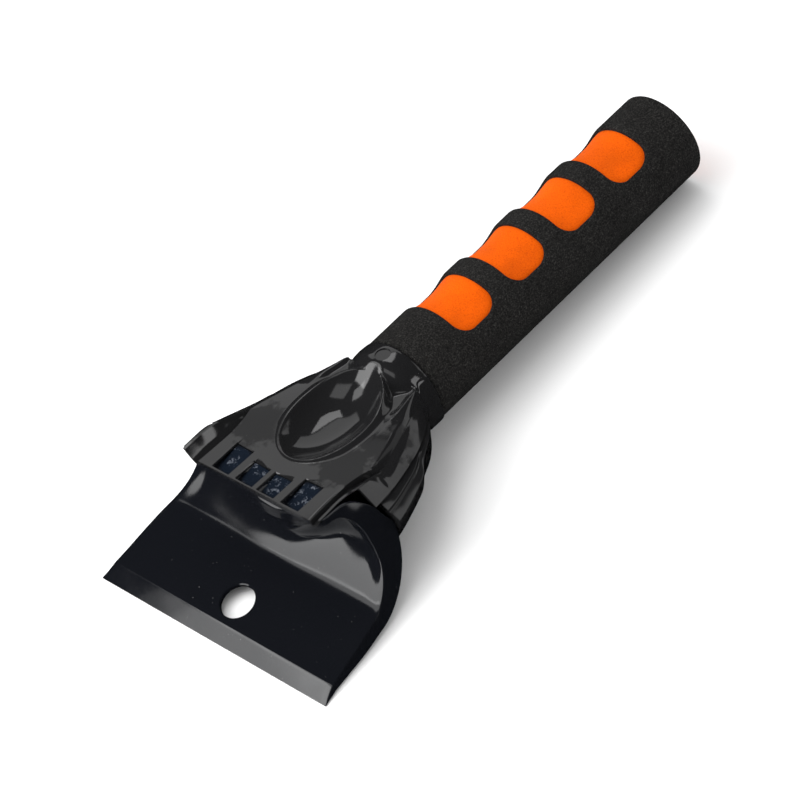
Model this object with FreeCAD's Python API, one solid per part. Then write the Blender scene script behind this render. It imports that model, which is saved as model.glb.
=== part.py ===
import FreeCAD, Part
import math
import os

V = FreeCAD.Vector

# Tool frame used while modelling, in millimetres: X runs along the handle from the scraping edge
# to the butt, Y to the left, Z up. X = 0 is the front face of the foam grip, and the handle's
# axis is Y = Z = 0. At the end every solid is laid down on its scraping edge and its butt.

# Grip and handle
GRIP_LENGTH = 136.2
GRIP_RADIUS = 17.0
SKIN_THICKNESS = 1.3            # black outer foam over the orange inner foam
TUBE_RADIUS = 11.0
TUBE_WALL = 1.8
TUBE_FRONT = -9.0
TUBE_BUTT = 133.5
PLUG_FLANGE = 1.8
PLUG_INSERT = 10.0
PLUG_WALL = 2.0

# Finger grooves
GROOVE_COUNT = 4
GROOVE_FIRST = 28.2
GROOVE_PITCH = 26.7
GROOVE_WIDTH = 19.4
GROOVE_DEPTH = 2.3
GROOVE_CENTRE_ANGLE = 10.0      # from straight up, towards the left
GROOVE_HALF_SPAN = 62.0

# Blade
EDGE_X = -103.8
EDGE_Z = -25.9
EDGE_LAND = 0.2
EDGE_RIM_Y = 52.3
BLADE_HALF_WIDTH = 52.5
BLADE_THICKNESS = 1.8
SKIRT_THICKNESS = 1.6           # crescent-shaped wall round each end of the blade
PLATE_ANGLE = 12.5
BEVEL_LENGTH = 6.5
ROLL_START_X = -73.0
ROLL_BACK_X = -59.0
LIP_X = -68.0
ROLL_STEPS = 9
ROLL_RIM_Y = 48.6               # half-width of the scoop where the roll starts
ROLL_TAPER = 8.6                # what the half-width loses on the way up
ROLL_SKIRT = (5.8, 10.4)        # depth of the skirt at the roll's start and at its top
LIP_HALF_WIDTH = 27.4           # the low part of the lip, which lies under the deck
LIP_Z = 9.0
PAD_GAP = 0.3                   # round each pad that stands on the lip, in a deck window
PAD_DROP = 0.7                  # of the pads' tops below the deck
PAD_BACK_X = -63.0
EAR_THICKNESS = 1.2
HOLE_RADIUS = 6.2
HOLE_FROM_EDGE = 15.2
WEB_BACK_X = -40.5
WEB_HALF_WIDTH = 23.0
WEB_TOP_Z = -2.0
WEB_THICKNESS = 2.0
WEB_OVERLAP = 0.6               # of the web with the back wall

# Head
WALL = 1.6
DECK_FRONT_X = -69.0
DECK_FRONT_Z = 13.3
DECK_BACK_X = -43.0
DECK_BACK_Z = 12.1
DECK_HALF_WIDTH = 24.8
DECK_FLARE = 1.5                # what the deck gains in half-width towards its back
DECK_BORDER = (2.4, 3.0)        # width and fall of the sloping border beside the deck
FIN_FOOT_Y = 26.4
FIN_FLARE = 0.02                # outward lean of the fin's foot line, per unit length
FIN_DROP = 1.9                  # of the fin's foot below the deck
FIN_THICKNESS = 1.2             # measured upright
COLLAR_RADIUS = 17.3
COLLAR_LENGTH = 9.0
NECK_RADIUS = 15.8
BELLY_Z = -15.6
CHIN_FRONT_X = -66.0
CHIN_BACK_X = -47.5
CHIN_HALF_WIDTH = 28.0
CHIN_HEIGHT = 16.5
ROLL_GAP = 0.3                  # between the chin and the back of the roll
DISH_CENTRE = (-31.3, 0.0, 14.0)
DISH_SIZE = (20.8, 14.1, 7.2)
BOWL_TOP_Z = 12.4
WINDOW_FRONT_X = -68.0
WINDOW_WIDTH = 7.4
WINDOW_CENTRES = (4.9, 15.9)
WINDOW_LENGTHS = (8.7, 11.8)
WINDOW_SLANT = 1.5              # by which a window's inner side is shorter
BOSS_X = -46.0
BOSS_Y = 18.6
BOSS_RADIUS = 3.0
BOSS_LOW_Z = -9.0
BOSS_GAP = 0.3                  # round a boss, where it passes the blade's web
PILOT_DEPTH = 13.0
SUPPORT_WALL = 1.2              # of the bottom shell's pillars under the bosses
SUPPORT_HEIGHT = 6.5
COLLAR_MARK_X = -4.4
COLLAR_MARK_RADIUS = 2.8
COLLAR_MARK_DEPTH = 1.0
CREST_RISE = 0.5                # of the ridge bars above their inner edge
CUT = 9.0                       # length of a cutter that passes right through a wall

# Screws
SCREW_RADIUS = 1.5
SCREW_HEAD_RADIUS = 2.8
SCREW_HEAD_HEIGHT = 1.6
SCREW_LENGTH = 14.0
COLLAR_SCREW_LENGTH = 6.5
HEAD_RECESS = 3.0               # depth of the recess for a head in the tray's floor
COLLAR_RECESS = 2.2             # the same in the collar
HEAD_GAP = 0.3
SHANK_GAP = 0.2
DRIVE_LENGTH = 3.6              # of the cross recess
DRIVE_WIDTH = 0.8
FIT = 0.05


def wire(points):
    """Closed straight-sided wire through 3-D points."""
    return Part.makePolygon([V(*p) for p in points] + [V(*points[0])])


def loft(sections):
    """Ruled solid through closed sections with equal point counts."""
    return Part.makeLoft([wire(s) for s in sections], True, True)


def cylinder(radius, height, base, axis):
    return Part.makeCylinder(radius, height, V(*base), V(*axis))


def tube(outer, inner, start, end):
    """Round tube along the handle's axis."""
    outside = cylinder(outer, end - start, (start, 0, 0), (1, 0, 0))
    return outside.cut(cylinder(inner, end - start, (start, 0, 0), (1, 0, 0)))


def ellipsoid(centre, size):
    ball = Part.makeSphere(1.0)
    matrix = FreeCAD.Matrix()
    matrix.scale(*size)
    ball = ball.transformGeometry(matrix)
    ball.translate(V(*centre))
    return ball


def half_space(upper):
    """Big box above or below the handle's axis, for the two halves of the collar."""
    size = 400.0
    return Part.makeBox(size, size, size, V(-size / 2, -size / 2, 0 if upper else -size))


# ---------------------------------------------------------------- blade

def plate_point(distance, height):
    """Point at a distance back from the scraping edge and a height above the plate's underside."""
    a = math.radians(PLATE_ANGLE)
    x = EDGE_X + distance * math.cos(a) - height * math.sin(a)
    z = EDGE_Z + distance * math.sin(a) + height * math.cos(a)
    return x, z


def roll_circle():
    """Centre and radius of the scoop's inner bend, tangent to the plate and to the back wall."""
    a = math.radians(PLATE_ANGLE)
    run = (ROLL_START_X - EDGE_X + BLADE_THICKNESS * math.sin(a)) / math.cos(a)
    start = plate_point(run, BLADE_THICKNESS)
    radius = (ROLL_BACK_X - start[0]) / (1.0 - math.sin(a))
    return (start[0] - radius * math.sin(a), start[1] + radius * math.cos(a)), radius


def offset(point, direction, distance):
    return point[0] + direction[0] * distance, point[1] + direction[1] * distance


def station(rim, rim_y, skirt, skirt_y, normal, middle=None, middle_normal=None, thick=None):
    """One section of the blade: its rim, the free edge of the end skirt, and its middle."""
    return {"rim": rim, "rim_y": rim_y, "skirt": skirt, "skirt_y": skirt_y, "normal": normal,
            "middle": middle or rim, "middle_normal": middle_normal or normal,
            "thick": BLADE_THICKNESS if thick is None else thick}


def blade_stations():
    """Sections from the scraping edge, along the plate and up the roll to the lip."""
    a = math.radians(PLATE_ANGLE)
    down = (math.sin(a), -math.cos(a))
    edge = plate_point(0.0, EDGE_LAND)
    stations = [station(edge, EDGE_RIM_Y, edge, BLADE_HALF_WIDTH, down, thick=EDGE_LAND)]
    for distance, rim_y, depth in ((BEVEL_LENGTH, 51.0, 2.4), (14.0, 50.3, 3.8), (22.0, 49.7, 5.0)):
        point = plate_point(distance, BLADE_THICKNESS)
        stations.append(station(point, rim_y, offset(point, down, depth), rim_y + 0.4, down))
    centre, radius = roll_circle()
    for step in range(ROLL_STEPS + 1):
        share = step / ROLL_STEPS
        angle = -(math.pi / 2 - a) * (1.0 - share)
        normal = (math.cos(angle), math.sin(angle))
        point = offset(centre, normal, radius)
        depth = ROLL_SKIRT[0] + (ROLL_SKIRT[1] - ROLL_SKIRT[0]) * share
        skirt = offset(point, normal, depth)
        rim_y = ROLL_RIM_Y - ROLL_TAPER * share ** 1.2
        stations.append(station(point, rim_y, skirt, rim_y + 0.5, normal))
    # The crescent ends rise beside the deck, and the lip between them lies under the deck.
    back = (1.0, 0.0)
    slant = (0.8, 0.6)
    up = (0.0, 1.0)
    for rim, rim_y, skirt, skirt_y, normal, middle, middle_normal in (
            ((-59.2, 6.0), 38.0, (-50.2, 4.6), 38.4, back, (ROLL_BACK_X, 4.0), back),
            ((-60.6, 10.2), 35.8, (-52.4, 9.8), 36.2, slant, (ROLL_BACK_X - 1.0, 7.6), slant),
            ((-63.4, 13.0), 33.8, (-58.2, 14.6), 34.0, slant, (ROLL_BACK_X - 3.5, LIP_Z), up),
            ((LIP_X, 13.6), 33.2, (LIP_X, 16.0), 33.4, up, (LIP_X, LIP_Z), up)):
        stations.append(station(rim, rim_y, skirt, skirt_y, normal, middle, middle_normal, EAR_THICKNESS))
    return stations


def blade_section(at):
    """Closed section across the blade: the scoop's face one way, its back the other way."""
    thick = at["thick"]
    wall = min(SKIRT_THICKNESS, thick)
    face = [(at["middle"], LIP_HALF_WIDTH), (at["rim"], at["rim_y"]), (at["skirt"], at["skirt_y"])]
    back = [(offset(at["middle"], at["middle_normal"], thick), LIP_HALF_WIDTH),
            (offset(at["rim"], at["normal"], thick), at["rim_y"] - wall),
            (at["skirt"], at["skirt_y"] - wall)]

    def across(half):
        return ([(x, -y, z) for (x, z), y in reversed(half)]
                + [(x, y, z) for (x, z), y in half])

    return across(face) + list(reversed(across(back)))


def pads():
    """Blocks on the lip that fill the fronts of the deck's windows and locate the blade."""
    blocks = []
    front = WINDOW_FRONT_X + PAD_GAP
    low = LIP_Z + EAR_THICKNESS / 2
    for centre in WINDOW_CENTRES:
        for side in (-1, 1):
            corner = V(front, side * centre - WINDOW_WIDTH / 2 + PAD_GAP, low)
            blocks.append(Part.makeBox(PAD_BACK_X - front, WINDOW_WIDTH - 2 * PAD_GAP,
                                       deck_z(PAD_BACK_X) - PAD_DROP - low, corner))
    return blocks


def make_blade():
    blade = loft([blade_section(s) for s in blade_stations()])
    front = ROLL_BACK_X + WEB_OVERLAP
    web = Part.makeBox(WEB_BACK_X - front, 2 * WEB_HALF_WIDTH, WEB_THICKNESS,
                       V(front, -WEB_HALF_WIDTH, WEB_TOP_Z - WEB_THICKNESS))
    blade = blade.fuse([web] + pads())
    for side in (-1, 1):
        base = (BOSS_X, side * BOSS_Y, WEB_TOP_Z - CUT)
        blade = blade.cut(cylinder(BOSS_RADIUS + BOSS_GAP, 2 * CUT, base, (0, 0, 1)))
    a = math.radians(PLATE_ANGLE)
    x, z = plate_point(HOLE_FROM_EDGE, -CUT / 2)
    hole = cylinder(HOLE_RADIUS, CUT, (x, 0, z), (-math.sin(a), 0, math.cos(a)))
    return blade.cut(hole)


# ---------------------------------------------------------------- head

def strip(x, points, drop=WALL, inset=WALL):
    """Closed section of an open shell: points run from the middle out to the left edge."""
    outer = [(x, y, z) for y, z in points]
    inner = [(x, max(y - inset, 0.0), z - drop) for y, z in points]
    outer_right = [(a, -b, c) for a, b, c in reversed(outer[1:])]
    inner_right = [(a, -b, c) for a, b, c in reversed(inner[1:])]
    return outer_right + outer + list(reversed(inner_right + inner))


def deck_z(x):
    share = (x - DECK_FRONT_X) / (DECK_BACK_X - DECK_FRONT_X)
    return DECK_FRONT_Z + share * (DECK_BACK_Z - DECK_FRONT_Z)


def deck_loft():
    sections = []
    border, fall = DECK_BORDER
    for x, half_width in ((DECK_FRONT_X, DECK_HALF_WIDTH),
                          (DECK_BACK_X, DECK_HALF_WIDTH + DECK_FLARE)):
        z = deck_z(x)
        points = [(0.0, z), (half_width / 2, z), (half_width, z), (half_width + border, z - fall)]
        sections.append(strip(x, points))
    return loft(sections)


def fin(side):
    """Upright rib beside the deck, which the blade's crescent end lies against."""
    sections = []
    for x, crest_y, crest_z in ((DECK_FRONT_X, 31.4, 15.6), (-60.0, 31.2, 15.6), (-51.2, 31.0, 13.7),
                                (DECK_BACK_X, 29.2, 10.6)):
        foot_y = FIN_FOOT_Y + FIN_FLARE * (x - DECK_FRONT_X)
        foot_z = deck_z(x) - FIN_DROP
        sections.append([(x, side * foot_y, foot_z), (x, side * crest_y, crest_z),
                         (x, side * crest_y, crest_z - FIN_THICKNESS),
                         (x, side * foot_y, foot_z - FIN_THICKNESS)])
    return loft(sections)


def body_loft():
    """Back of the top shell: middle, ridge bars and flanks, from the deck to the collar."""
    sections = []
    # x, middle height, ridge inner y and z, ridge outer y and z, flank edge y and z
    rows = ((-44.0, 12.15, 26.4, 11.7, 28.7, 10.0, 36.6, 6.7),
            (-31.0, 12.6, 23.7, 11.6, 26.2, 9.8, 32.0, 5.2),
            (-17.0, 14.2, 18.8, 11.2, 20.8, 9.6, 26.0, 4.6),
            (-8.6, 16.4, 15.6, 10.6, 17.2, 8.6, 19.2, 3.0))
    for x, mid_z, in_y, in_z, out_y, out_z, edge_y, edge_z in rows:
        crest = ((in_y + out_y) / 2, in_z + CREST_RISE)
        points = [(0.0, mid_z), (in_y / 2, (mid_z + in_z) / 2), (in_y, in_z), crest,
                  (out_y, out_z), (edge_y, edge_z)]
        sections.append(strip(x, points))
    return loft(sections)


def wing_tip(side):
    """Front tip of a flank, which reaches forward to the blade's cheek."""
    corners = ((-43.9, 28.7, 10.0), (-43.9, 36.6, 6.7), (-48.6, 38.6, 7.4))
    face = Part.Face(wire([(x, side * y, z) for x, y, z in corners]))
    return face.extrude(V(0, 0, -WALL))


def collar(upper):
    """Half of the flared ring that grips the tube."""
    profile = ((-COLLAR_LENGTH, TUBE_RADIUS + FIT), (-COLLAR_LENGTH, NECK_RADIUS),
               (-5.0, COLLAR_RADIUS - 0.6), (-1.0, COLLAR_RADIUS), (0.0, COLLAR_RADIUS - 0.3),
               (0.0, TUBE_RADIUS + FIT))
    face = Part.Face(wire([(x, 0, r) for x, r in profile]))
    ring = face.revolve(V(0, 0, 0), V(1, 0, 0), 360)
    return ring.common(half_space(upper))


def window(centre, length, side):
    """Prism that cuts one window; the outer ones reach further back on their outer side."""
    x = WINDOW_FRONT_X
    low = centre - WINDOW_WIDTH / 2
    high = centre + WINDOW_WIDTH / 2
    corners = ((x, low), (x, high), (x + length, high), (x + length - WINDOW_SLANT, low))
    face = Part.Face(wire([(cx, side * cy, LIP_Z) for cx, cy in corners]))
    return face.extrude(V(0, 0, CUT))


def make_top_shell():
    shell = deck_loft().fuse([body_loft(), collar(True), wing_tip(1), wing_tip(-1), fin(1), fin(-1)])
    bowl = tuple(s + WALL for s in DISH_SIZE)
    below_deck = Part.makeBox(4 * bowl[0], 4 * bowl[1], 4 * bowl[2],
                              V(DISH_CENTRE[0] - 2 * bowl[0], -2 * bowl[1], BOWL_TOP_Z - 4 * bowl[2]))
    shell = shell.fuse(ellipsoid(DISH_CENTRE, bowl).common(below_deck))
    shell = shell.cut(ellipsoid(DISH_CENTRE, DISH_SIZE))
    for side in (-1, 1):
        top = deck_z(BOSS_X) - WALL / 2
        base = (BOSS_X, side * BOSS_Y, BOSS_LOW_Z)
        shell = shell.fuse(cylinder(BOSS_RADIUS, top - BOSS_LOW_Z, base, (0, 0, 1)))
        shell = shell.cut(cylinder(SCREW_RADIUS + FIT, PILOT_DEPTH, base, (0, 0, 1)))
        for centre, length in zip(WINDOW_CENTRES, WINDOW_LENGTHS):
            shell = shell.cut(window(centre, length, side))
    base = (COLLAR_MARK_X, 0, COLLAR_RADIUS - COLLAR_MARK_DEPTH)
    mark = cylinder(COLLAR_MARK_RADIUS, CUT, base, (0, 0, 1))
    return shell.cut(mark).removeSplitter()


def chin():
    """Front of the tray's floor and its low side walls, which meet the back of the blade's roll."""
    low = V(CHIN_FRONT_X, -CHIN_HALF_WIDTH, BELLY_Z)
    length = CHIN_BACK_X - CHIN_FRONT_X
    tray = Part.makeBox(length, 2 * CHIN_HALF_WIDTH, CHIN_HEIGHT, low)
    inside = V(CHIN_FRONT_X, WALL - CHIN_HALF_WIDTH, BELLY_Z + WALL)
    tray = tray.cut(Part.makeBox(length, 2 * (CHIN_HALF_WIDTH - WALL), CHIN_HEIGHT, inside))
    (x, z), radius = roll_circle()
    reach = radius + BLADE_THICKNESS + ROLL_GAP
    tray = tray.cut(cylinder(reach, 2 * CHIN_HALF_WIDTH, (x, -CHIN_HALF_WIDTH, z), (0, 1, 0)))
    return tray.cut(Part.makeBox(2 * reach, 2 * CHIN_HALF_WIDTH, CHIN_HEIGHT,
                                 V(x - reach, -CHIN_HALF_WIDTH, z)))


def make_bottom_shell():
    """Boat-shaped tray with a stepped ledge outside the top shell's flanks."""
    sections = []
    # x, ledge half-width, ledge height, height and half-width of the joint with the top shell
    rows = ((-48.4, 43.4, 2.6, 5.8, 36.6), (-43.0, 41.6, 2.0, 4.9, 35.6),
            (-33.0, 37.6, 1.4, 3.9, 32.0), (-28.4, 35.4, 1.8, 3.6, 30.2),
            (-24.4, 32.0, 2.6, 3.4, 28.6), (-17.0, 28.2, 2.4, 3.0, 25.2),
            (-8.6, 18.4, 0.6, 1.2, 17.0))
    for x, width, ledge_z, joint_z, joint_y in rows:
        outer = [(0.0, BELLY_Z), (width * 0.60, BELLY_Z), (width * 0.90, BELLY_Z + 7.0),
                 (width, ledge_z), (joint_y, joint_z)]
        inner = [(0.0, BELLY_Z + WALL), (width * 0.58, BELLY_Z + WALL),
                 (width * 0.90 - WALL - 0.6, BELLY_Z + 7.6), (width - WALL - 1.6, ledge_z - 1.0),
                 (joint_y - 1.4, joint_z - WALL)]
        left = [(x, y, z) for y, z in outer]
        right = [(x, -y, z) for y, z in reversed(outer[1:])]
        left_in = [(x, y, z) for y, z in reversed(inner[1:])]
        right_in = [(x, -y, z) for y, z in inner[1:]]
        sections.append(right + left + left_in + [(x, 0.0, inner[0][1])] + right_in)
    shell = loft(sections).fuse(collar(False))
    shell = shell.fuse(chin())
    for side in (-1, 1):
        base = (BOSS_X, side * BOSS_Y, BELLY_Z)
        shell = shell.fuse(cylinder(BOSS_RADIUS + SUPPORT_WALL, SUPPORT_HEIGHT, base, (0, 0, 1)))
        shell = shell.cut(cylinder(SCREW_HEAD_RADIUS + HEAD_GAP, HEAD_RECESS, base, (0, 0, 1)))
        shell = shell.cut(cylinder(SCREW_RADIUS + SHANK_GAP, CUT, base, (0, 0, 1)))
    base = (COLLAR_MARK_X, 0, COLLAR_RECESS - COLLAR_RADIUS)
    shell = shell.cut(cylinder(SCREW_HEAD_RADIUS + HEAD_GAP, CUT, base, (0, 0, -1)))
    shell = shell.cut(cylinder(SCREW_RADIUS + SHANK_GAP, CUT, base, (0, 0, 1)))
    return shell.removeSplitter()


def screw(x, y, seat_z, length):
    """Self-tapping screw, driven upwards, with its head's top face at seat_z."""
    head = cylinder(SCREW_HEAD_RADIUS, SCREW_HEAD_HEIGHT, (x, y, seat_z - SCREW_HEAD_HEIGHT), (0, 0, 1))
    shank = cylinder(SCREW_RADIUS, length, (x, y, seat_z), (0, 0, 1))
    low = seat_z - SCREW_HEAD_HEIGHT
    slot = Part.makeBox(DRIVE_LENGTH, DRIVE_WIDTH, DRIVE_WIDTH,
                        V(x - DRIVE_LENGTH / 2, y - DRIVE_WIDTH / 2, low))
    cross = Part.makeBox(DRIVE_WIDTH, DRIVE_LENGTH, DRIVE_WIDTH,
                         V(x - DRIVE_WIDTH / 2, y - DRIVE_LENGTH / 2, low))
    return head.fuse(shank).cut(slot).cut(cross).removeSplitter()


def make_screws():
    seat = BELLY_Z + HEAD_RECESS
    screws = [screw(BOSS_X, side * BOSS_Y, seat, SCREW_LENGTH) for side in (1, -1)]
    screws.append(screw(COLLAR_MARK_X, 0, COLLAR_RECESS - COLLAR_RADIUS, COLLAR_SCREW_LENGTH))
    return Part.makeCompound(screws)


# ---------------------------------------------------------------- handle

def groove_cutter(centre_x):
    """Ring sector that grinds one finger groove: an arc across, swept round part of the grip."""
    half = GROOVE_WIDTH / 2
    lift = 3.0
    left = V(centre_x - half, 0, GRIP_RADIUS)
    bottom = V(centre_x, 0, GRIP_RADIUS - GROOVE_DEPTH)
    right = V(centre_x + half, 0, GRIP_RADIUS)
    arc = Part.Arc(left, bottom, right).toShape()
    lid = Part.makePolygon([right, V(centre_x + half, 0, GRIP_RADIUS + lift),
                            V(centre_x - half, 0, GRIP_RADIUS + lift), left])
    face = Part.Face(Part.Wire([arc] + lid.Edges))
    face.rotate(V(0, 0, 0), V(1, 0, 0), -(GROOVE_CENTRE_ANGLE - GROOVE_HALF_SPAN))
    return face.revolve(V(0, 0, 0), V(1, 0, 0), -2 * GROOVE_HALF_SPAN)


def grooved(sleeve):
    for index in range(GROOVE_COUNT):
        sleeve = sleeve.cut(groove_cutter(GROOVE_FIRST + index * GROOVE_PITCH))
    return sleeve


def make_foam_inner():
    core = GRIP_RADIUS - SKIN_THICKNESS
    return grooved(tube(core, TUBE_RADIUS + FIT, 0.0, GRIP_LENGTH))


def make_foam_outer():
    core = GRIP_RADIUS - SKIN_THICKNESS
    skin = tube(GRIP_RADIUS, core, 0.0, GRIP_LENGTH)
    return grooved(skin)


def make_tube():
    pipe = tube(TUBE_RADIUS, TUBE_RADIUS - TUBE_WALL, TUBE_FRONT, TUBE_BUTT)
    hole = cylinder(SCREW_RADIUS + FIT, CUT, (COLLAR_MARK_X, 0, -TUBE_RADIUS), (0, 0, 1))
    return pipe.cut(hole)


def make_plug():
    bore = TUBE_RADIUS - TUBE_WALL
    insert = tube(bore - FIT, bore - PLUG_WALL, TUBE_BUTT - PLUG_INSERT, TUBE_BUTT)
    flange = cylinder(TUBE_RADIUS, PLUG_FLANGE, (TUBE_BUTT, 0, 0), (1, 0, 0))
    return insert.fuse(flange).removeSplitter()


# ---------------------------------------------------------------- rest pose and output

def lay_down(shape):
    """Rest the tool on its scraping edge and butt, with the origin under the box's middle."""
    angle = math.atan2(-EDGE_Z - GRIP_RADIUS, GRIP_LENGTH - EDGE_X)
    edge_x = EDGE_X * math.cos(angle) + EDGE_Z * math.sin(angle)
    butt_x = GRIP_LENGTH * math.cos(angle) + GRIP_RADIUS * math.sin(angle)
    floor_z = EDGE_Z * math.cos(angle) - EDGE_X * math.sin(angle)
    placed = shape.copy()
    placed.rotate(V(0, 0, 0), V(0, 1, 0), math.degrees(angle))
    placed.translate(V(-(edge_x + butt_x) / 2, 0, -floor_z))
    return placed


NODES = {
    "blade": make_blade,
    "head_top_shell": make_top_shell,
    "head_bottom_shell": make_bottom_shell,
    "shell_screws": make_screws,
    "handle_tube": make_tube,
    "end_plug": make_plug,
    "grip_foam_inner": make_foam_inner,
    "grip_foam_outer": make_foam_outer,
}

os.makedirs("parts", exist_ok=True)
for name, make in NODES.items():
    part = lay_down(make())
    part.exportStep("parts/" + name + ".step")
    box = part.BoundBox
    print(name, "valid", part.isValid(), "solids", len(part.Solids), "volume", round(part.Volume),
          "x %.1f %.1f y %.1f %.1f z %.1f %.1f" % (box.XMin, box.XMax, box.YMin, box.YMax,
                                                   box.ZMin, box.ZMax))
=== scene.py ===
import math

import bmesh
import bpy
import numpy as np
from mathutils import Matrix, Vector


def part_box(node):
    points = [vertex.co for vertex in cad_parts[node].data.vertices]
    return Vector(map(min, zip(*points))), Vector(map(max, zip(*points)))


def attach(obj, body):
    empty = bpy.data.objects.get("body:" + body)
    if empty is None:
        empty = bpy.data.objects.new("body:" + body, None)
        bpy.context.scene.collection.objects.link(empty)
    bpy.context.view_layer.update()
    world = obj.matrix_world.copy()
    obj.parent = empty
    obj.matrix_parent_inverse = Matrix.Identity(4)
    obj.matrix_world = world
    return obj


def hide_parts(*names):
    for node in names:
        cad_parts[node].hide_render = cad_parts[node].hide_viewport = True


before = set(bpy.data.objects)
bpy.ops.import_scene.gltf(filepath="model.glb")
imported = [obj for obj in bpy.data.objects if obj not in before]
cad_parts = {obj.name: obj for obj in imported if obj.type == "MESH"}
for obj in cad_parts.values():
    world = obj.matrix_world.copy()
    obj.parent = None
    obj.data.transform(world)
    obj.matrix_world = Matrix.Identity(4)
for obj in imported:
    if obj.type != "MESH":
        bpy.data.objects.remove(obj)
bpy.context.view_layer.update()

# The tool frame of the CAD model, in millimetres: X along the handle towards the butt, Y to the
# left, Z up, with X = 0 at the foam's front face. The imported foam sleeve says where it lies.
MM = 0.001
GRIP_LOW, GRIP_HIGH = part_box("grip_foam_outer")
GRIP_RADIUS = (GRIP_HIGH.y - GRIP_LOW.y) / 2 / MM


def lie_of_the_grip():
    """Tilt of the handle, its length, and the centre of its front face, from the sleeve's box."""
    long_side = (GRIP_HIGH.x - GRIP_LOW.x) / MM
    tall_side = (GRIP_HIGH.z - GRIP_LOW.z) / MM
    tilt = 0.0
    for _ in range(20):
        length = (long_side - 2 * GRIP_RADIUS * math.sin(tilt)) / math.cos(tilt)
        tilt = math.asin((tall_side - 2 * GRIP_RADIUS * math.cos(tilt)) / length)
    x = GRIP_LOW.x + GRIP_RADIUS * math.sin(tilt) * MM
    z = GRIP_HIGH.z - GRIP_RADIUS * math.cos(tilt) * MM
    return tilt, length, Vector((x, 0.0, z))


TILT, GRIP_LENGTH, FRONT = lie_of_the_grip()


def place(point):
    """Row-frame position, in metres, of a tool-frame point in millimetres."""
    x, y, z = point
    along = x * math.cos(TILT) + z * math.sin(TILT)
    up = z * math.cos(TILT) - x * math.sin(TILT)
    return (FRONT.x + along * MM, y * MM, FRONT.z + up * MM)


# ---------------------------------------------------------------- mesh helpers

def spline(table, at):
    """Smooth curve through a table's rows: its first column is the position, the rest values."""
    rows = np.array(table, float)
    t, v = rows[:, 0], rows[:, 1:]
    k = int(np.clip(np.searchsorted(t, at) - 1, 0, len(t) - 2))

    def slope(i):
        a, b = max(i - 1, 0), min(i + 1, len(t) - 1)
        return (v[b] - v[a]) / (t[b] - t[a])

    h = t[k + 1] - t[k]
    s = (at - t[k]) / h
    return ((2 * s**3 - 3 * s**2 + 1) * v[k] + (s**3 - 2 * s**2 + s) * h * slope(k)
            + (3 * s**2 - 2 * s**3) * v[k + 1] + (s**3 - s**2) * h * slope(k + 1))


def smooth_step(value, low, high):
    s = np.clip((value - low) / (high - low), 0.0, 1.0)
    return s * s * (3 - 2 * s)


def rounded(corners, radii, steps=4):
    """Closed loop through corner points, each corner swapped for a short curve."""
    loop = []
    count = len(corners)
    for i in range(count):
        here = Vector(corners[i])
        before = Vector(corners[i - 1]) - here
        after = Vector(corners[(i + 1) % count]) - here
        reach = min(radii[i], before.length * 0.45, after.length * 0.45)
        start = here + before.normalized() * reach
        end = here + after.normalized() * reach
        for k in range(steps + 1):
            s = k / steps
            loop.append(start * (1 - s) ** 2 + here * 2 * s * (1 - s) + end * s * s)
    return [tuple(p) for p in loop]


def make_object(name, verts, faces, closed=True):
    """Object from tool-frame points, welded; a closed body's faces are turned outwards."""
    mesh = bpy.data.meshes.new(name)
    mesh.from_pydata([place(v) for v in verts], [], faces)
    bm = bmesh.new()
    bm.from_mesh(mesh)
    bmesh.ops.remove_doubles(bm, verts=bm.verts, dist=2e-6)
    bmesh.ops.dissolve_degenerate(bm, edges=bm.edges, dist=1e-6)
    if closed:
        bmesh.ops.recalc_face_normals(bm, faces=bm.faces)
    bm.to_mesh(mesh)
    bm.free()
    obj = bpy.data.objects.new(name, mesh)
    bpy.context.scene.collection.objects.link(obj)
    return obj


def loft(name, loops):
    """Closed body through closed loops with equal point counts."""
    size = len(loops[0])
    verts = [p for loop in loops for p in loop]
    faces = []
    for i in range(len(loops) - 1):
        for j in range(size):
            k = (j + 1) % size
            faces.append((i * size + j, i * size + k, (i + 1) * size + k, (i + 1) * size + j))
    faces.append(tuple(range(size)))
    faces.append(tuple(range((len(loops) - 1) * size, len(loops) * size))[::-1])
    return make_object(name, verts, faces)


def lathe(name, profile, origin, axis, steps=96):
    """Closed turned body: profile is (radius, distance along axis) from one end to the other."""
    direction = Vector(axis).normalized()
    side = direction.orthogonal().normalized()
    other = direction.cross(side)
    loops = []
    for radius, along in profile:
        centre = Vector(origin) + direction * along
        loops.append([tuple(centre + (side * math.cos(a) + other * math.sin(a)) * radius)
                      for a in (2 * math.pi * k / steps for k in range(steps))])
    return loft(name, loops)


def apply_modifiers(obj):
    depsgraph = bpy.context.evaluated_depsgraph_get()
    mesh = bpy.data.meshes.new_from_object(obj.evaluated_get(depsgraph))
    obj.modifiers.clear()
    obj.data = mesh


def combine(obj, other, operation):
    """Boolean of obj with another body, which is used up."""
    modifier = obj.modifiers.new("cut", "BOOLEAN")
    modifier.operation = operation
    modifier.object = other
    modifier.solver = "EXACT"
    bpy.context.view_layer.update()
    apply_modifiers(obj)
    bpy.data.objects.remove(other)


def finish_surface(obj, angle=32.0):
    """Smooth shading, with hard edges kept crisp."""
    obj.data.polygons.foreach_set("use_smooth", [True] * len(obj.data.polygons))
    obj.data.set_sharp_from_angle(angle=math.radians(angle))


# ---------------------------------------------------------------- blade

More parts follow.
